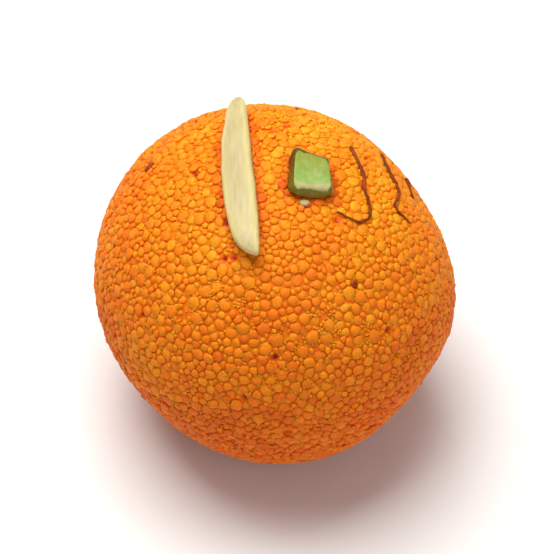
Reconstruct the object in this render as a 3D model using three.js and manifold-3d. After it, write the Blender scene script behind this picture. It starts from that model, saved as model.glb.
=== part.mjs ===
// Boondi ladoo: a sweet of small fried chickpea-flour beads bound with syrup and rolled by hand into a ball.
// An almond sliver and a piece of pistachio are pressed into its top, and saffron strands lie beside them.
// Millimetres, +Z up. The origin is the middle of the flat spot that it rests on, and -Y is its front.
import * as THREE from "three";
import { LoftGeometry } from "three/addons/geometries/LoftGeometry.js";
import { ConvexHull } from "three/addons/math/ConvexHull.js";
import { mergeVertices } from "three/addons/utils/BufferGeometryUtils.js";
import Module from "manifold-3d";

const wasm = await Module();
wasm.setup();

// Driving dimensions: millimetres and degrees. A topping's x and y are where it sits, seen from above.
const ball = { width: 42, squash: 0.97, restSpot: 15 };
const beads = { count: 1700, depth: 0.55, uneven: 0.25, scatter: 0.3, seed: 7 };
const almond = { thickness: 2, bendRadius: 45, x: -3.6, y: 0.45, turn: 4.75, sunk: 0.8 };
const pistachio = { width: 5.2, depth: 6.4, height: 3.2, x: 3.65, y: -0.7, turn: 3, sunk: 1.3 };
const strandThickness = 0.5;
const socketGap = 0.3;

// The sliver's outline from above as [along, left edge, right edge], from its slanting low end to its back tip.
const almondOutline = [
  [-12.1, 0, 0.35],
  [-11.8, -0.7, 0.55],
  [-11.1, -1.55, 0.7],
  [-9.5, -2.45, 0.85],
  [-6, -2.8, 0.95],
  [-2, -2.85, 1.1],
  [2, -2.7, 1.05],
  [6.5, -2.1, 0.95],
  [9.5, -1.6, 0.9],
  [11.2, -1.2, 0.7],
  [12, -0.6, 0.4],
];

// The flat sides that the knife left on the pistachio: where each one faces, and how close to the middle it cuts.
const pistachioChops = [
  { toward: [0.06, -0.1, 1], reach: 0.5 },
  { toward: [-1, 0.1, 0.12], reach: 0.6 },
  { toward: [0.03, -1, 0.15], reach: 0.82 },
  { toward: [1, 0.05, 0.12], reach: 0.62 },
  { toward: [0.42, 0.9, 0.2], reach: 0.66 },
  { toward: [0.35, 0.6, 0.75], reach: 0.68 },
  { toward: [0.03, -0.66, 0.75], reach: 0.73 },
].map(({ toward, reach }) => ({ toward: new THREE.Vector3(...toward).normalize(), reach }));

// Where the hands left the ball fuller (a rise above 0) or flatter. Spread is how wide the mark is.
const handMarks = [
  { toward: [-0.64, 0.59, 0.49], rise: 1, spread: 0.5 },
  { toward: [0.82, 0.44, 0.37], rise: -1.4, spread: 0.42 },
  { toward: [-0.72, -0.53, -0.45], rise: -0.7, spread: 0.35 },
  { toward: [0.35, -0.85, 0.1], rise: 0.4, spread: 0.35 },
  { toward: [0.98, -0.16, -0.13], rise: 0.25, spread: 0.3 },
  { toward: [0.78, -0.48, -0.41], rise: -0.9, spread: 0.28 },
  { toward: [-0.2, 0.8, -0.55], rise: -0.4, spread: 0.4 },
].map((mark) => ({ ...mark, toward: new THREE.Vector3(...mark.toward).normalize() }));

// Each saffron strand is a line of [x, y] points on the top, from its thick end to its thin one.
const strandLines = [
  [[8.5, 6], [9.6, 2.9], [10.1, 1.3], [9.9, -0.2], [10.3, -1.8], [10.8, -3.4], [10.3, -4.8], [9, -5.5], [6.8, -4.9]],
  [[12.5, 8.2], [13.6, 3.9], [14.2, 2.5], [14.4, 1.1], [13.6, -0.5], [13.9, -1.6], [15.5, -1.9]],
  [[15.8, 7], [16, 4.8], [16.3, 3]],
];

const ballRadius = ball.width / 2;
const centreHeight = ball.squash * Math.sqrt(ballRadius ** 2 - (ball.restSpot / 2) ** 2);
const ballCentre = new THREE.Vector3(0, 0, centreHeight);

function seededRandom(seed) {
  let state = seed;
  return () => {
    state = (state * 1664525 + 1013904223) % 4294967296;
    return state / 4294967296;
  };
}

// The point of the ball's surface in a direction from its centre, a lift above the bead tops or below them.
function onBall(direction, lift = 0) {
  let reach = ballRadius + lift;
  for (const { toward, rise, spread } of handMarks)
    reach += rise * Math.exp((direction.dot(toward) - 1) / spread ** 2);
  return direction.clone().multiplyScalar(reach).multiply(new THREE.Vector3(1, 1, ball.squash)).add(ballCentre);
}

// The direction from the ball's centre to its upper surface over a place seen from above.
function directionOver(x, y) {
  return new THREE.Vector3(x, y, Math.sqrt(ballRadius ** 2 - x ** 2 - y ** 2)).normalize();
}

// A spiral of evenly spaced directions, each knocked a little out of place.
function beadDirections(random) {
  const goldenAngle = Math.PI * (3 - Math.sqrt(5));
  const spacing = Math.sqrt((4 * Math.PI) / beads.count);
  return Array.from({ length: beads.count }, (_, i) => {
    const height = 1 - (2 * i + 1) / beads.count;
    const spread = Math.sqrt(1 - height ** 2);
    const turn = i * goldenAngle;
    const knock = () => (random() - 0.5) * 2 * beads.scatter * spacing;
    const x = spread * Math.cos(turn) + knock();
    const y = spread * Math.sin(turn) + knock();
    return new THREE.Vector3(x, y, height + knock()).normalize();
  });
}

// Every bead is a low peak, and the hollows between beads are the corners that its neighbours share with it.
function beadedBall() {
  const random = seededRandom(beads.seed);
  const directions = beadDirections(random);
  const net = new ConvexHull().setFromPoints(directions);
  const peaks = new Map(directions.map((way) => [way, onBall(way, -beads.uneven * random())]));
  const hollows = new Map(net.faces.map((face) => [face, onBall(face.normal, -beads.depth)]));
  const corners = [];
  for (const face of net.faces)
    for (const side of [0, 1, 2]) {
      const edge = face.getEdge(side);
      corners.push(peaks.get(edge.tail().point), hollows.get(edge.twin.face), hollows.get(face));
    }
  return new THREE.BufferGeometry().setFromPoints(corners);
}

// A place on the ball's top: its +Z points out of the ball, and its origin lies below the bead tops.
function seat({ x, y, turn, sunk }) {
  const out = directionOver(x, y);
  const tilt = new THREE.Quaternion().setFromUnitVectors(new THREE.Vector3(0, 0, 1), out);
  const spin = new THREE.Quaternion().setFromAxisAngle(new THREE.Vector3(0, 0, 1), THREE.MathUtils.degToRad(turn));
  return new THREE.Matrix4().compose(onBall(out, -sunk), tilt.multiply(spin), new THREE.Vector3(1, 1, 1));
}

// A slim sliver along Y with its underside at z = 0, squarish across and bent over the ball.
function almondSliver(grow = 0) {
  const corners = 12;
  const reach = 12.3;
  const squarish = (value) => Math.sign(value) * Math.abs(value) ** 0.7;
  const rings = almondOutline.map(([along, left, right]) => {
    const middle = (left + right) / 2;
    const halfWidth = (right - left) / 2 + grow;
    const thinning = (1 - (along / reach) ** 6) ** 0.4;
    const halfThickness = (almond.thickness / 2) * thinning + grow;
    const y = along * (1 + grow / reach);
    const bend = y ** 2 / (2 * almond.bendRadius);
    return Array.from({ length: corners }, (_, j) => {
      const angle = (2 * Math.PI * (j + 0.5)) / corners;
      const x = middle + halfWidth * squarish(Math.sin(angle));
      const z = almond.thickness / 2 + halfThickness * squarish(Math.cos(angle));
      return new THREE.Vector3(x, y, z - bend);
    });
  });
  return new LoftGeometry(rings, { capStart: true, capEnd: true });
}

// A lump with its underside at z = 0: a round one, flattened wherever the kernel was chopped.
function pistachioPiece(grow = 0) {
  const lump = new THREE.IcosahedronGeometry(1, 3);
  const corner = new THREE.Vector3();
  const places = lump.getAttribute("position");
  for (let i = 0; i < places.count; i++) {
    corner.fromBufferAttribute(places, i);
    for (const { toward, reach } of pistachioChops)
      corner.addScaledVector(toward, Math.min(0, reach - corner.dot(toward)));
    places.setXYZ(i, corner.x, corner.y, corner.z);
  }
  lump.center();
  const halfSize = lump.boundingBox.max;
  lump.scale(
    (pistachio.width / 2 + grow) / halfSize.x,
    (pistachio.depth / 2 + grow) / halfSize.y,
    (pistachio.height / 2 + grow) / halfSize.z,
  );
  return lump.translate(0, 0, pistachio.height / 2);
}

// A six-sided thread laid over the bead tops, half sunk in them.
function saffronStrand(line) {
  const steps = 3 * (line.length - 1);
  const sides = 6;
  const curve = new THREE.CatmullRomCurve3(line.map(([x, y]) => onBall(directionOver(x, y))));
  const rings = Array.from({ length: steps + 1 }, (_, i) => {
    const point = curve.getPointAt(i / steps);
    const out = point.clone().sub(ballCentre).normalize();
    const side = curve.getTangentAt(i / steps).cross(out).normalize();
    const radius = (strandThickness / 2) * (1.1 - (0.35 * i) / steps);
    return Array.from({ length: sides }, (_, j) => {
      const angle = (2 * Math.PI * j) / sides;
      return point
        .clone()
        .addScaledVector(side, radius * Math.sin(angle))
        .addScaledVector(out, radius * Math.cos(angle));
    });
  });
  return new LoftGeometry(rings, { capStart: true, capEnd: true });
}

function solidFrom(geometry) {
  const loose = geometry.index ? geometry.toNonIndexed() : geometry;
  const bare = new THREE.BufferGeometry().setAttribute("position", loose.getAttribute("position"));
  const merged = mergeVertices(bare, 1e-4);
  return new wasm.Manifold(
    new wasm.Mesh({
      numProp: 3,
      vertProperties: merged.getAttribute("position").array,
      triVerts: new Uint32Array(merged.index.array),
    }),
  );
}

function geometryFrom(solid) {
  const mesh = solid.getMesh();
  const geometry = new THREE.BufferGeometry();
  geometry.setAttribute("position", new THREE.BufferAttribute(mesh.vertProperties, 3));
  geometry.setIndex(new THREE.BufferAttribute(mesh.triVerts, 1));
  geometry.computeVertexNormals();
  return geometry;
}

// The ball with its flat spot, the sockets that the toppings are pressed into, and the strands fused on.
function ladooBody(almondSeat, pistachioSeat) {
  const slab = new THREE.BoxGeometry(2 * ball.width, 2 * ball.width, ball.width).translate(0, 0, -ballRadius);
  const cuts = [
    slab,
    almondSliver(socketGap).applyMatrix4(almondSeat),
    pistachioPiece(socketGap).applyMatrix4(pistachioSeat),
  ];
  let body = solidFrom(beadedBall());
  for (const cut of cuts) body = body.subtract(solidFrom(cut));
  for (const line of strandLines) body = body.add(solidFrom(saffronStrand(line)));
  return body.simplify(0.02);
}

function piece(name, geometry, color, roughness) {
  const mesh = new THREE.Mesh(geometry, new THREE.MeshStandardMaterial({ color, roughness, metalness: 0 }));
  mesh.name = name;
  return mesh;
}

const almondSeat = seat(almond);
const pistachioSeat = seat(pistachio);
const ladoo = new THREE.Group();
ladoo.add(piece("boondi_ball", geometryFrom(ladooBody(almondSeat, pistachioSeat)), 0xee8420, 0.5));

const almondMesh = piece("almond_sliver", almondSliver(), 0xeedd9c, 0.55);
almondMesh.applyMatrix4(almondSeat);
ladoo.add(almondMesh);

const pistachioMesh = piece("pistachio_piece", pistachioPiece(), 0x8fb84e, 0.5);
pistachioMesh.applyMatrix4(pistachioSeat);
ladoo.add(pistachioMesh);

export default ladoo;
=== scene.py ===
import math
import bmesh
import bpy
import numpy as np
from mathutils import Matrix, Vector, kdtree, noise
from mathutils.bvhtree import BVHTree


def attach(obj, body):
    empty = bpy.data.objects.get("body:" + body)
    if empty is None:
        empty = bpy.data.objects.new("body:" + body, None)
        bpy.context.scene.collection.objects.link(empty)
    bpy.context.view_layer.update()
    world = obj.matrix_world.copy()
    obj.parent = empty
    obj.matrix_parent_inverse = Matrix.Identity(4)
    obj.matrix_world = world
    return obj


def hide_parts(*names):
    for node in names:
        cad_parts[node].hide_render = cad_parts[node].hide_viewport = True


# Boondi ladoo: fine boondi over a core, with an almond sliver, a pistachio piece and saffron on top.
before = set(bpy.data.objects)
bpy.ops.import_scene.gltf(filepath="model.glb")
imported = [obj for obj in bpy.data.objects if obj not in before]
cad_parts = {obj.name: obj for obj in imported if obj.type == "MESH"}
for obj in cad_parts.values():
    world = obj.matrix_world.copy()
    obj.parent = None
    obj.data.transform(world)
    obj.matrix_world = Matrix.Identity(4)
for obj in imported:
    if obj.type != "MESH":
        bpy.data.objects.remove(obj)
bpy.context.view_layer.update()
mm = 0.001
seed = 5
noise.seed_set(seed)  # without a seed noise_vector starts somewhere else each run

# The ball: the same form as the solid's, squashed a little and marked by the hands that rolled it.
ball = {
    "radius": 21 * mm,
    "squash": 0.97,
    "restSpot": 15 * mm,  # width of the flat that it rests on
    "handMarks": [  # towards, rise, spread
        ((-0.64, 0.59, 0.49), 1 * mm, 0.5),
        ((0.82, 0.44, 0.37), -1.4 * mm, 0.42),
        ((-0.72, -0.53, -0.45), -0.7 * mm, 0.35),
        ((0.35, -0.85, 0.1), 0.4 * mm, 0.35),
        ((0.98, -0.16, -0.13), 0.25 * mm, 0.3),
        ((0.78, -0.48, -0.41), -0.9 * mm, 0.28),
        ((-0.2, 0.8, -0.55), -0.4 * mm, 0.4),
    ],
}
centreHeight = ball["squash"] * math.sqrt(ball["radius"] ** 2 - (ball["restSpot"] / 2) ** 2)
ballCentre = np.array([0, 0, centreHeight])


def unit(vectors):
    return vectors / np.linalg.norm(vectors, axis=-1, keepdims=True)


# Points on the ball in the given directions, lifted above the tops of the boondi or sunk below them.
def ballSurface(directions, lift):
    reach = ball["radius"] + lift
    for toward, rise, spread in ball["handMarks"]:
        reach = reach + rise * np.exp((directions @ unit(np.array(toward)) - 1) / spread ** 2)
    arms = directions * reach[:, None] * [1, 1, ball["squash"]]
    drop = np.maximum(-arms[:, 2], centreHeight)  # what would reach below the floor stops on it
    return ballCentre + arms * (centreHeight / drop)[:, None]


# The directions of places seen from above, in millimetres.
def waysOver(places):
    flat = np.array(places, dtype=float) * mm
    return unit(np.column_stack([flat, np.sqrt(ball["radius"] ** 2 - (flat ** 2).sum(1))]))


# How far points stand proud of the tops of the boondi.
def liftOf(points):
    arms = (points - ballCentre) / [1, 1, ball["squash"]]
    reach = (ballSurface(unit(arms), 0) - ballCentre) / [1, 1, ball["squash"]]
    return np.linalg.norm(arms, axis=1) - np.linalg.norm(reach, axis=1)


def srgb(colour):  # "#ee8420" as linear RGBA
    channels = [int(colour[i:i + 2], 16) / 255 for i in (1, 3, 5)]
    return [c / 12.92 if c <= 0.04045 else ((c + 0.055) / 1.055) ** 2.4 for c in channels] + [1]


# Adds a shader node. An input that is an output of another node is linked to it.
def addNode(tree, kind, inputs=None, **settings):
    node = tree.nodes.new(kind)
    for name, value in settings.items():
        setattr(node, name, value)
    for name, value in (inputs or {}).items():
        if isinstance(value, bpy.types.NodeSocket):
            tree.links.new(value, node.inputs[name])
        else:
            node.inputs[name].default_value = value
    return node


# A new material, with the fixed values of its shader set.
def startMaterial(name, values):
    material = bpy.data.materials.new(name)
    material.use_nodes = True
    shader = material.node_tree.nodes["Principled BSDF"]
    for socket, value in values.items():
        shader.inputs[socket].default_value = value
    return material, shader


grainMiddle = (0.3, 0.7)  # most of what a noise texture gives lies between these


# Boondi, nuts and saffron are coloured alike: a tone kept on the mesh picks the colour. Their grain, which is
# crumb, fibres or wrinkles, gives them relief, and where the look says so, mottles the tone and the gloss.
def makeFoodMaterial(look):
    material, shader = startMaterial(look["name"], look["shader"])
    tree = material.node_tree
    place = addNode(tree, "ShaderNodeTexCoord").outputs["Object"]
    if "stretch" in look:
        stretched = addNode(tree, "ShaderNodeMapping", {"Vector": place, "Scale": look["stretch"]})
        place = stretched.outputs["Vector"]
    grain = addNode(tree, "ShaderNodeTexNoise", {
        "Vector": place,
        "Scale": 1 / look["grainSize"],
        "Detail": look["grainDetail"],
    }).outputs["Fac"]
    tone = addNode(tree, "ShaderNodeAttribute", attribute_name="tone").outputs["Fac"]
    if "mottle" in look:
        shift = addNode(tree, "ShaderNodeMapRange", {
            "Value": grain,
            "From Min": grainMiddle[0],
            "From Max": grainMiddle[1],
            "To Min": -look["mottle"],
            "To Max": look["mottle"],
        })
        mottled = {0: tone, 1: shift.outputs["Result"]}
        tone = addNode(tree, "ShaderNodeMath", mottled, operation="ADD").outputs["Value"]
    colour = addNode(tree, "ShaderNodeValToRGB", {"Fac": tone})
    stops = colour.color_ramp.elements
    while len(stops) < len(look["tones"]):
        stops.new(1)
    for stop, (position, shade) in zip(stops, look["tones"]):
        stop.position = position
        stop.color = srgb(shade)
    relief = addNode(tree, "ShaderNodeBump", {
        "Height": grain,
        "Distance": look["grainRelief"],
        "Strength": 1,
    })
    tree.links.new(colour.outputs["Color"], shader.inputs["Base Color"])
    tree.links.new(relief.outputs["Normal"], shader.inputs["Normal"])
    if "roughness" in look:
        smooth, rough = look["roughness"]
        sheen = addNode(tree, "ShaderNodeMapRange", {"Value": grain, "To Min": smooth, "To Max": rough})
        tree.links.new(sheen.outputs["Result"], shader.inputs["Roughness"])
    return material


# Boondi: drops of chickpea-flour batter fried in ghee and soaked in saffron syrup. They are matt and
# grainy like cake crumb, a little see-through at the edges, with a thin sticky gloss of syrup.
boondiLook = {
    "name": "Fried chickpea boondi in syrup",
    "tones": [
        (0, "#7d2a04"), (0.12, "#cf5003"), (0.35, "#de5d04"), (0.6, "#f17706"), (0.85, "#f6890a"),
        (1, "#f89a17"),
    ],
    "mottle": 0.1,  # how far the crumb shifts the tone
    "grainSize": 0.24 * mm,  # of the crumb
    "grainDetail": 3,
    "grainRelief": 0.05 * mm,
    "roughness": (0.52, 0.72),
    "shader": {
        "IOR": 1.47,
        "Specular IOR Level": 0.17,
        "Subsurface Weight": 0.6,
        "Subsurface Radius": (1, 0.4, 0.1),
        "Subsurface Scale": 1.4 * mm,
        "Coat Weight": 0.03,
        "Coat Roughness": 0.3,
        "Coat IOR": 1.47,
    },
}

# Blanched almond: an ivory kernel cut lengthwise by a knife, waxy and matt, with faint fibres along it.
# Its middle is greyer than its rims, and it is painted in shade where it touches the boondi.
almondLook = {
    "name": "Blanched almond",
    "tones": [(0, "#8a5a1c"), (0.3, "#a48a52"), (0.5, "#b2a373"), (0.9, "#c8b87a"), (1, "#cfc084")],
    "mottle": 0.12,  # how far the fibres shift the tone
    "stretch": (1, 0.08, 1),  # draws the grain out to fibres along the sliver
    "grainSize": 0.35 * mm,  # the width of the fibres
    "grainDetail": 3,
    "grainRelief": 0.05 * mm,
    "shader": {
        "Roughness": 0.55,
        "IOR": 1.46,
        "Subsurface Weight": 0.25,
        "Subsurface Radius": (1, 0.7, 0.4),
        "Subsurface Scale": 0.8 * mm,
    },
}

# Pistachio: a kernel chopped with a knife. What is left of its skin is a dull brown, its cut faces are
# green and waxy, and the middle of the kernel is nearly cream.
# Its front edge is painted paler as a highlight, and the face below it is painted in shadow.
pistachioLook = {
    "name": "Chopped pistachio kernel",
    "tones": [
        (0, "#46350a"), (0.25, "#6f6714"), (0.45, "#83851e"), (0.62, "#809a40"), (0.78, "#8aa552"),
        (1, "#b0a46a"),
    ],
    "mottle": 0.09,  # how far the grain shifts the tone
    "grainSize": 0.5 * mm,
    "grainDetail": 4,
    "grainRelief": 0.05 * mm,
    "shader": {
        "Roughness": 0.45,
        "IOR": 1.46,
        "Subsurface Weight": 0.2,
        "Subsurface Radius": (0.6, 1, 0.25),
        "Subsurface Scale": 0.7 * mm,
    },
}

# Saffron: crocus stigmas that softened in the warm syrup, red brown, matt and wrinkled.
saffronLook = {
    "name": "Dried saffron",
    "tones": [(0, "#5e2002"), (0.6, "#7a3302"), (1, "#984a05")],
    "grainSize": 0.15 * mm,  # of the wrinkles
    "grainDetail": 2,
    "grainRelief": 0.04 * mm,
    "shader": {"Roughness": 0.65, "IOR": 1.5, "Specular IOR Level": 0.15},
}


def setTones(mesh, tones):
    mesh.attributes.new("tone", "FLOAT", "POINT").data.foreach_set("value", tones)


def meshFrom(name, bm):
    mesh = bpy.data.meshes.new(name)
    bm.to_mesh(mesh)
    bm.free()
    return mesh


def addToScene(name, data):
    thing = bpy.data.objects.new(name, data)
    bpy.context.scene.collection.objects.link(thing)
    return thing


# The mesh of an object as its modifiers or its bevel make it. The object itself goes.
def finishedMesh(thing):
    mesh = bpy.data.meshes.new_from_object(thing.evaluated_get(bpy.context.evaluated_depsgraph_get()))
    bpy.data.objects.remove(thing)
    return mesh


def addPiece(name, mesh, material, node=None):
    mesh.materials.clear()
    mesh.materials.append(material)
    mesh.shade_smooth()
    piece = addToScene(name, mesh)
    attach(piece, "root")
    if node:
        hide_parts(node)
    return piece


refining = {
    "mergeWithin": 0.001 * mm,
    "flatWithin": math.radians(40),  # triangles that meet at less than this join into quads
    "squareWithin": math.radians(60),
    "creaseOver": math.radians(25),
    "levels": 2,
}


# A smooth mesh of a topping, made from its CAD node: merged, back to quads, then subdivided. Edges where
# the knife cut keep some of their sharpness.
def refineNode(node, sharpness, uneven):
    bm = bmesh.new()
    bm.from_mesh(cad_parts[node].data)
    bmesh.ops.remove_doubles(bm, verts=bm.verts, dist=refining["mergeWithin"])
    bmesh.ops.join_triangles(
        bm,
        faces=bm.faces,
        angle_face_threshold=refining["flatWithin"],
        angle_shape_threshold=refining["squareWithin"],
    )
    crease = bm.edges.layers.float.new("crease_edge")
    for edge in bm.edges:
        if edge.calc_face_angle(0) > refining["creaseOver"]:
            edge[crease] = sharpness
    shaper = addToScene(node + "Shaper", meshFrom(node, bm))
    shaper.modifiers.new("Smooth", "SUBSURF").levels = refining["levels"]
    finished = finishedMesh(shaper)
    for vertex in finished.vertices:
        for size, depth in uneven:
            vertex.co += vertex.normal * depth * noise.noise(vertex.co / size)
    return finished


# The sliver, and the tones of its cut: the middle, the rims where it turns down, and painted shade low
# on its sides, near the boondi.
almond = {
    "sharpness": 0,
    "uneven": [(3 * mm, 0.12 * mm), (0.9 * mm, 0.06 * mm)],  # size and depth
    "middle": 0.5,
    "rim": 0.9,
    "rimStart": 0.93,  # cosine of its turn from facing out of the ball, where all of it is rim
    "lowShadeTone": 0,
    "lowShadeHeight": 0.9 * mm,
}


def makeAlmond(material):
    mesh = refineNode("almond_sliver", almond["sharpness"], almond["uneven"])
    points = np.array([v.co for v in mesh.vertices])
    upward = (np.array([v.normal for v in mesh.vertices]) * unit(points - ballCentre)).sum(1)
    toRim = np.clip((1 - upward) / (1 - almond["rimStart"]), 0, 1)
    # painted shade: the sliver darkens towards the boondi, where its sides are in shadow
    toLowShade = np.clip(1 - liftOf(points) / almond["lowShadeHeight"], 0, 1)
    tones = almond["middle"] + (almond["rim"] - almond["middle"]) * toRim
    setTones(mesh, tones + (almond["lowShadeTone"] - tones) * toLowShade)
    return addPiece("almondSliver", mesh, material, "almond_sliver")


# A scrap that fell off an almond when it was cut.
almondCrumb = {
    "place": (3.1, -4.4),
    "size": (0.55 * mm, 0.4 * mm, 0.3 * mm),
    "uneven": (0.5 * mm, 0.14 * mm),  # size and depth
    "fineness": 3,
    "tone": 0.45,
}


def makeAlmondCrumb(material):
    bm = bmesh.new()
    bmesh.ops.create_icosphere(bm, subdivisions=almondCrumb["fineness"], radius=1)
    bmesh.ops.scale(bm, vec=almondCrumb["size"], verts=bm.verts)
    middle = Vector(ballSurface(waysOver([almondCrumb["place"]]), 0)[0])
    size, depth = almondCrumb["uneven"]
    for vertex in bm.verts:
        place = vertex.co + middle
        vertex.co = place + noise.noise_vector(place / size) * depth
    mesh = meshFrom("almondCrumb", bm)
    setTones(mesh, [almondCrumb["tone"]] * len(mesh.vertices))
    return addPiece("almondCrumb", mesh, material)


pistachio = {
    "sharpness": 0.7,
    "uneven": [(1.6 * mm, 0.12 * mm), (0.6 * mm, 0.05 * mm)],  # size and depth
    "skin": 0.08,  # its tone, on what isn't one of the faces
    "faces": [  # the way each one points, how closely, and its tone
        ((0.23, -0.13, 0.96), 0.93, 0.56),  # the wide cut on top
        ((0.16, -0.68, 0.72), 0.9, 1),  # the pale cut along its front, with a painted highlight on that edge
        ((0.98, 0.02, 0), 0.8, 0.3),
        ((0.35, 0.55, 0.75), 0.95, 0.3),
        # the face under its front, painted dark as shadow
        ((0.1, -1, -0.1), 0.9, 0.12),
    ],
    "faceEdge": 2,  # how suddenly one face's tone gives way to the next
    "frontRise": 0.1,  # how much the tone rises towards its front
}


def makePistachio(material):
    mesh = refineNode("pistachio_piece", pistachio["sharpness"], pistachio["uneven"])
    normals = np.array([v.normal for v in mesh.vertices])
    tones = np.full(len(normals), pistachio["skin"])
    for towards, closeness, tone in pistachio["faces"]:
        likeness = (normals @ unit(np.array(towards)) - closeness) / (1 - closeness)
        tones += (tone - tones) * np.clip(likeness * pistachio["faceEdge"], 0, 1)
    forwards = np.array([-v.co.y for v in mesh.vertices])
    tones += pistachio["frontRise"] * (forwards - forwards.mean()) / forwards.std()
    setTones(mesh, tones)
    return addPiece("pistachioPiece", mesh, material, "pistachio_piece")


# A topping's surface and the corners of its box, to press the boondi out of it.
def toppingTree(piece):
    corners = [v.co for v in piece.data.vertices]
    tree = BVHTree.FromPolygons(corners, [p.vertices[:] for p in piece.data.polygons])
    return tree, np.min(corners, axis=0), np.max(corners, axis=0)


pressGap = 0.02  # mm, between a topping and what it presses down


# Moves points that are inside a topping out to its surface: the beads under it are pressed down.
def pressOut(points, toppings):
    for tree, low, high in toppings:
        for i in np.flatnonzero(np.all((points > low) & (points < high), axis=1)):
            nearest, normal, _, _ = tree.find_nearest(points[i])
            if (Vector(points[i]) - nearest).dot(normal) < 0:
                points[i] = nearest + normal * pressGap * mm


def makeTree(points):
    tree = kdtree.KDTree(len(points))
    for i, point in enumerate(points):
        tree.insert(point, i)
    tree.balance()
    return tree


def nearestOthers(points, count):
    tree = makeTree(points)
    return np.array([[found[1] for found in tree.find_n(point, count + 1)][1:] for point in points])


# An unevenness of the given size and depth, as a shift of each point.
def unevenness(points, size, depth):
    return depth * np.array([noise.noise_vector(Vector(point) / size) for point in points])


# The beads touch, so each one is pressed to the shape of the room that its neighbours leave it.
boondi = {
    "count": 4600,
    "sizes": (0.5, 1.5),  # of a bead, against the mean one
    "widest": 1.25,  # a mean bead that has room, against the mean distance between beads
    "mashed": 0.5,  # the share that the rolling flattened
    "lost": 0.009,  # the share that fell off, which leaves a pit
    "low": (0.06, 0.12 * mm),  # the share that sits deeper, and how much
    "kinds": {  # tall is how high a bead stands, and sunk how far it may be pushed in
        "plump": {
            "segments": 9, "rings": 5, "tall": 0.25 * mm, "sunk": 0.08 * mm, "boxiness": 2.6,
            "tones": (0.48, 0.78),
        },
        "mashed": {
            "segments": 9, "rings": 4, "tall": 0.18 * mm, "sunk": 0.11 * mm, "boxiness": 3.2,
            "tones": (0.45, 0.76),
        },
        "crumbs": {
            "segments": 6, "rings": 4, "tall": 0.2 * mm, "boxiness": 2.3,
            "tones": (0.45, 0.8),
        },
    },
    "toasted": [(8.5, -12.1), (-14, 6), (2, 14)],  # places of boondi that browned in the pan
    "toastedTone": 0,
    "patchSize": 9 * mm,
    "patchTone": 0.18,
    # painted light and shade: the upper boondi are lighter and the lower ones darker, as light from above
    # falls on them
    "paintedHeightShade": 0.37,
    "plainHeight": 0.4,  # the height, in radii above the centre, that shifts no tone
    "deepest": -0.22,  # as far as the patches and the painted shade by height darken a bead
    "toppingShadow": {  # painted shadow beside a topping: it is darkest up to half a reach from it, and ends at 1.5
        "reach": 0.9 * mm,
        "end": 1.5,
        "tone": -0.45,
    },
    "crumbCount": 4800,
    "crumbSizes": (0.5, 1.3),
    "crumbWidth": 0.66 * mm,
    "crumbSunk": 0.08 * mm,
    "crumbLeastSunk": 0.4,  # of crumbSunk, and the draw adds up to one more
    "crumbTries": 6,  # places tried for each crumb that is kept
    "cornering": 7,  # how far a bead reaches into the corners between its neighbours
    "roughness": [(1 * mm, 0.15 * mm), (0.4 * mm, 0.06 * mm)],  # size and depth of the unevenness
    "packing": {"rounds": 14, "neighbours": 8, "spacing": 1.04, "give": 0.3, "mostPush": 2},
    "walls": 9,  # neighbours that shape a bead
}

# Directions spread at random that push their neighbours away, the large beads more than the small.
def packDirections(sizes, rng):
    packing = boondi["packing"]
    ways = unit(rng.normal(size=(len(sizes), 3)))
    spacing = math.sqrt(4 * math.pi / len(sizes)) * packing["spacing"]
    for _ in range(packing["rounds"]):
        near = nearestOthers(ways, packing["neighbours"])
        apart = ways[:, None] - ways[near]
        distance = np.linalg.norm(apart, axis=2)
        wanted = spacing * (sizes[:, None] + sizes[near]) / 2
        push = np.clip(wanted / distance - 1, 0, packing["mostPush"])[:, :, None] * apart
        ways = unit(ways + packing["give"] * push.sum(1))
    return ways


# Directions to the widest gaps between the whole beads, for the crumbs.
def gapDirections(count, beads, rng):
    tries = unit(rng.normal(size=(boondi["crumbTries"] * count, 3)))
    tree = makeTree(beads)
    distance = np.array([tree.find(way)[2] for way in tries])
    return tries[np.argsort(-distance)[:count]]


# One bead as a low sphere: its corners, and its faces as lists of corner numbers. The sphere's faces come in
# another order each run, so each one is turned to begin at its lowest corner, and then they are sorted.
def beadTemplate(kind):
    bm = bmesh.new()
    bmesh.ops.create_uvsphere(bm, u_segments=kind["segments"], v_segments=kind["rings"], radius=1)
    corners = np.array([v.co for v in bm.verts])
    faces = [[v.index for v in f.verts] for f in bm.faces]
    bm.free()
    starts = [face.index(min(face)) for face in faces]
    return corners, sorted(face[start:] + face[:start] for face, start in zip(faces, starts))


# Where each bead sits, the ways across it, and its walls: the distance and bearing of each neighbour's
# side.
def packBeads(ways, sizes, lifts):
    places = ballSurface(ways, lifts)
    steep = np.abs(ways[:, 2:]) > 0.9  # too near to the Z axis to be crossed with it
    sideways = unit(np.cross(ways, np.where(steep, [1, 0, 0], [0, 0, 1])))
    forwards = np.cross(ways, sideways)
    near = nearestOthers(places, boondi["walls"])
    apart = places[near] - places[:, None]
    across = np.einsum("nkc,nc->nk", apart, sideways)
    along = np.einsum("nkc,nc->nk", apart, forwards)
    return {
        "ways": ways,
        "sizes": sizes,
        "places": places,
        "sideways": sideways,
        "forwards": forwards,
        "wall": np.hypot(across, along) * sizes[:, None] / (sizes[:, None] + sizes[near]),
        "bearing": np.arctan2(along, across),
        "toasted": np.zeros(len(ways), dtype=bool),
    }


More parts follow.
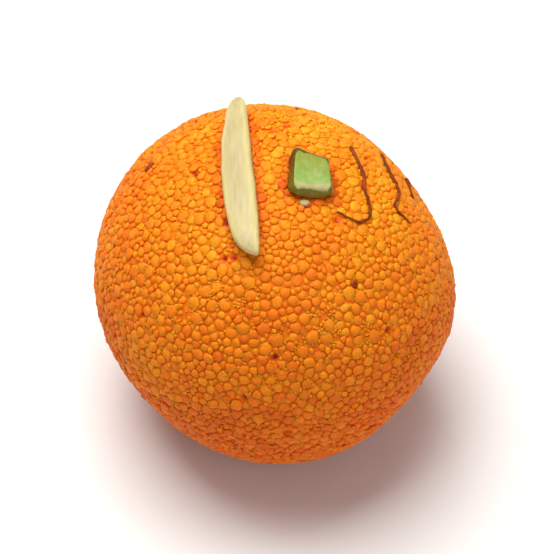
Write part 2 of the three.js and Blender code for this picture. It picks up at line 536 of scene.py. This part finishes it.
def makeBeads(name, kind, pack, widest, toppings, material, rng):
    count = len(pack["ways"])
    corners, faces = beadTemplate(kind)
    radial = np.hypot(corners[:, 0], corners[:, 1])
    power = kind["boxiness"]  # 2 is a round bead, and more is flatter on top
    swell = (radial ** power + np.abs(corners[:, 2]) ** power) ** (-1 / power)
    angle = np.arctan2(corners[:, 1], corners[:, 0]) + rng.uniform(0, 2 * math.pi, (count, 1))
    facing = np.clip(np.cos(angle[:, :, None] - pack["bearing"][:, None]), 0, None)
    power = boondi["cornering"]
    limit = (pack["sizes"] * widest / 2)[:, None]
    room = (((facing / pack["wall"][:, None]) ** power).sum(2) + limit ** -power) ** (-1 / power)
    reach = room * radial * swell
    rise = (corners[:, 2] * swell - 1) * np.sqrt(pack["sizes"][:, None]) * kind["tall"]
    points = pack["places"][:, None] + rise[:, :, None] * pack["ways"][:, None]
    points += (reach * np.cos(angle))[:, :, None] * pack["sideways"][:, None]
    points += (reach * np.sin(angle))[:, :, None] * pack["forwards"][:, None]

    points = points.reshape(-1, 3)
    for size, depth in boondi["roughness"]:
        points += unevenness(points, size, depth)
    pressOut(points, toppings)
    points[:, 2] = np.maximum(points[:, 2], 0)

    mesh = bpy.data.meshes.new(name)
    firsts = range(0, len(points), len(corners))
    mesh.from_pydata(points.tolist(), [], [[first + c for c in face] for first in firsts for face in faces])
    tones = rng.uniform(*kind["tones"], count) + soakingAndShade(pack["places"], toppings)
    tones = np.where(pack["toasted"], boondi["toastedTone"], tones)
    setTones(mesh, np.repeat(tones, len(corners)))
    return addPiece(name, mesh, material, "boondi_ball")


# Syrup soaks the boondi unevenly, so some patches are deeper in colour. The lower boondi are painted in shade
# and the upper ones painted lighter, and those beside a topping get a painted shadow.
def soakingAndShade(places, toppings):
    patches = np.array([noise.noise(Vector(place) / boondi["patchSize"]) for place in places])
    height = (places[:, 2] - centreHeight) / ball["radius"]
    soakedAndShaded = boondi["patchTone"] * patches + boondi["paintedHeightShade"] * (height - boondi["plainHeight"])
    gaps = np.array([min(tree.find_nearest(place)[3] for tree, _, _ in toppings) for place in places])
    toppingShadow = boondi["toppingShadow"]
    # painted shadow: boondi beside a topping are darkened where it shades them
    paintedToppingShadow = toppingShadow["tone"] * np.clip(toppingShadow["end"] - gaps / toppingShadow["reach"], 0, 1)
    return np.maximum(soakedAndShaded, boondi["deepest"]) + paintedToppingShadow


def makeBoondi(toppings, material):
    rng = np.random.default_rng(seed)
    sizes = rng.uniform(*boondi["sizes"], boondi["count"])
    ways = packDirections(sizes, rng)
    isMashed = rng.random(len(ways)) < boondi["mashed"]
    isLost = rng.random(len(ways)) < boondi["lost"]
    kinds = boondi["kinds"]
    sunk = np.where(isMashed, kinds["mashed"]["sunk"], kinds["plump"]["sunk"]) * rng.random(len(ways))
    lowShare, lowDepth = boondi["low"]
    sunk += np.where(rng.random(len(ways)) < lowShare, lowDepth, 0)
    pack = packBeads(ways, sizes, -sunk)
    toasted = np.linalg.norm(ways[:, None] - waysOver(boondi["toasted"]), axis=2).argmin(0)
    pack["toasted"][toasted] = True
    meanWidth = math.sqrt(4 * math.pi / boondi["count"]) * ball["radius"]
    widest = boondi["widest"] * meanWidth
    for name, kind, chosen in [("plumpBoondi", "plump", ~isMashed), ("mashedBoondi", "mashed", isMashed)]:
        kept = chosen & ~isLost
        some = {key: values[kept] for key, values in pack.items()}
        makeBeads(name, kinds[kind], some, widest, toppings, material, rng)

    gaps = gapDirections(boondi["crumbCount"], ways, rng)
    sizes = rng.uniform(*boondi["crumbSizes"], len(gaps))
    sunk = boondi["crumbSunk"] * (boondi["crumbLeastSunk"] + rng.random(len(gaps)))
    crumbs = packBeads(gaps, sizes, -sunk)
    makeBeads("boondiCrumbs", kinds["crumbs"], crumbs, boondi["crumbWidth"], toppings, material, rng)
    return ways[isLost]


# The inside of the ladoo, which shows only in the gaps, and darker in the pits of lost boondi.
core = {
    "fineness": 7,
    "sunk": 0.31 * mm,
    "floorGap": 0.2 * mm,
    "roughness": (0.8 * mm, 0.04 * mm),  # size and depth of the unevenness
    "tone": 0.6,
    "pitWidth": 1.1 * mm,
    "pitSteepness": 4,  # at 4 the inner half of its width is flat
    "pitDepth": 0.4 * mm,
    # painted shade: the pits are coloured darker where shadow gathers in them
    "pitShadeTone": 0,
}


def makeCore(toppings, material, lostWays):
    bm = bmesh.new()
    bmesh.ops.create_icosphere(bm, subdivisions=core["fineness"], radius=1)
    ways = unit(np.array([v.co for v in bm.verts]))
    lost = makeTree(lostWays)
    fromPit = np.array([lost.find(way)[2] for way in ways]) * ball["radius"]
    steepness = core["pitSteepness"]
    inPit = np.clip(steepness / 2 - steepness * fromPit / core["pitWidth"], 0, 1)
    points = ballSurface(ways, -core["sunk"] - inPit * core["pitDepth"])
    points += unevenness(points, *core["roughness"])
    pressOut(points, toppings)
    points[:, 2] = np.maximum(points[:, 2], core["floorGap"])
    for vertex, point in zip(bm.verts, points):
        vertex.co = point
    mesh = meshFrom("ladooCore", bm)
    setTones(mesh, core["tone"] + (core["pitShadeTone"] - core["tone"]) * inPit)
    return addPiece("ladooCore", mesh, material, "boondi_ball")


# Each strand is a line of places on the top, seen from above, from its thick end to its thin one.
strands = {
    "thickness": 0.42 * mm,
    "thinning": (1.3, 0.55),  # at the two ends, against the thickness
    "lift": 0.02 * mm,
    "wrinkles": [(0.9, 0.12), (0.3, 0.05)],  # size and depth in mm
    "patchSize": 2 * mm,
    "lines": [
        [(8.5, 6), (9.6, 2.9), (10.1, 1.3), (9.9, -0.2), (10.3, -1.8), (10.8, -3.4), (10.3, -4.8),
         (9, -5.5), (6.8, -4.9)],
        [(12.5, 8.2), (13.6, 3.9), (14.2, 2.5), (14.4, 1.1), (13.6, -0.5), (13.9, -1.6), (15.5, -1.9)],
        [(15.8, 7), (16, 4.8), (16.3, 3)],
    ],
}


def makeStrands(material):
    curve = bpy.data.curves.new("strandLines", "CURVE")
    curve.dimensions = "3D"
    curve.bevel_depth = strands["thickness"] / 2
    curve.bevel_resolution = 2
    curve.resolution_u = 8
    curve.use_fill_caps = True
    for line in strands["lines"]:
        spline = curve.splines.new("NURBS")
        spline.points.add(len(line) - 1)
        spline.use_endpoint_u = True
        spline.order_u = 3
        places = ballSurface(waysOver(line), strands["lift"])
        radii = np.linspace(*strands["thinning"], len(line))
        for point, place, radius in zip(spline.points, places, radii):
            point.co = (*place, 1)
            point.radius = radius
    mesh = finishedMesh(addToScene("strandLines", curve))
    for vertex in mesh.vertices:
        for size, depth in strands["wrinkles"]:
            vertex.co += noise.noise_vector(vertex.co / (size * mm)) * depth * mm
    setTones(mesh, [0.5 + 0.5 * noise.noise(v.co / strands["patchSize"]) for v in mesh.vertices])
    return addPiece("saffronStrands", mesh, material, "boondi_ball")


# Studio: a pale floor, a wide soft light overhead and a weak one from the front.
studio = {
    "elevation": 50,
    "azimuth": 0,
    "distance": 0.65,
    "frameWidth": 0.064,
    "sensorWidth": 36,
    "clipStart": 0.01,
    "aim": (0, 0, 0.0205),
    "floor": "#e6e4e0",
    "floorRoughness": 0.8,
    "floorReach": 1.5,
    "world": 0.24,
    "lights": [  # name, size, power, place
        ("softboxAbove", 0.4, 4, (-0.07, 0.1, 0.5)),
        ("fillFront", 0.4, 0.95, (0.3, -0.46, 0.36)),
    ],
}


def turnTo(thing, aim):
    thing.rotation_euler = (aim - thing.location).to_track_quat("-Z", "Y").to_euler()


def makeStudio():
    bm = bmesh.new()
    bmesh.ops.create_grid(bm, x_segments=1, y_segments=1, size=studio["floorReach"])
    floor = addToScene("floor", meshFrom("floor", bm))
    paper = {"Base Color": srgb(studio["floor"]), "Roughness": studio["floorRoughness"]}
    floor.data.materials.append(startMaterial("Pale paper floor", paper)[0])

    world = bpy.data.worlds.new("studio")
    world.use_nodes = True
    world.node_tree.nodes["Background"].inputs["Strength"].default_value = studio["world"]
    world.node_tree.nodes["Background"].inputs["Color"].default_value = (1, 1, 1, 1)
    bpy.context.scene.world = world

    aim = Vector(studio["aim"])
    for name, size, power, place in studio["lights"]:
        light = bpy.data.lights.new(name, "AREA")
        light.size = size
        light.energy = power
        lamp = addToScene(name, light)
        lamp.location = place
        turnTo(lamp, aim)

    camera = addToScene("camera", bpy.data.cameras.new("camera"))
    tilt, turn = math.radians(studio["elevation"]), math.radians(studio["azimuth"])
    back = Vector((-math.sin(turn) * math.cos(tilt), -math.cos(turn) * math.cos(tilt), math.sin(tilt)))
    camera.location = aim + back * studio["distance"]
    turnTo(camera, aim)
    camera.data.sensor_width = studio["sensorWidth"]
    camera.data.lens = studio["sensorWidth"] * studio["distance"] / studio["frameWidth"]
    camera.data.clip_start = studio["clipStart"]
    bpy.context.scene.camera = camera
    bpy.context.scene.view_settings.view_transform = "Standard"


print("stage: studio")
makeStudio()

print("stage: toppings")
almondMaterial = makeFoodMaterial(almondLook)
pistachioMaterial = makeFoodMaterial(pistachioLook)
toppings = [toppingTree(makeAlmond(almondMaterial)), toppingTree(makePistachio(pistachioMaterial))]
makeAlmondCrumb(almondMaterial)

print("stage: boondi")
boondiMaterial = makeFoodMaterial(boondiLook)
lostWays = makeBoondi(toppings, boondiMaterial)
makeCore(toppings, boondiMaterial, lostWays)

print("stage: saffron")
makeStrands(makeFoodMaterial(saffronLook))
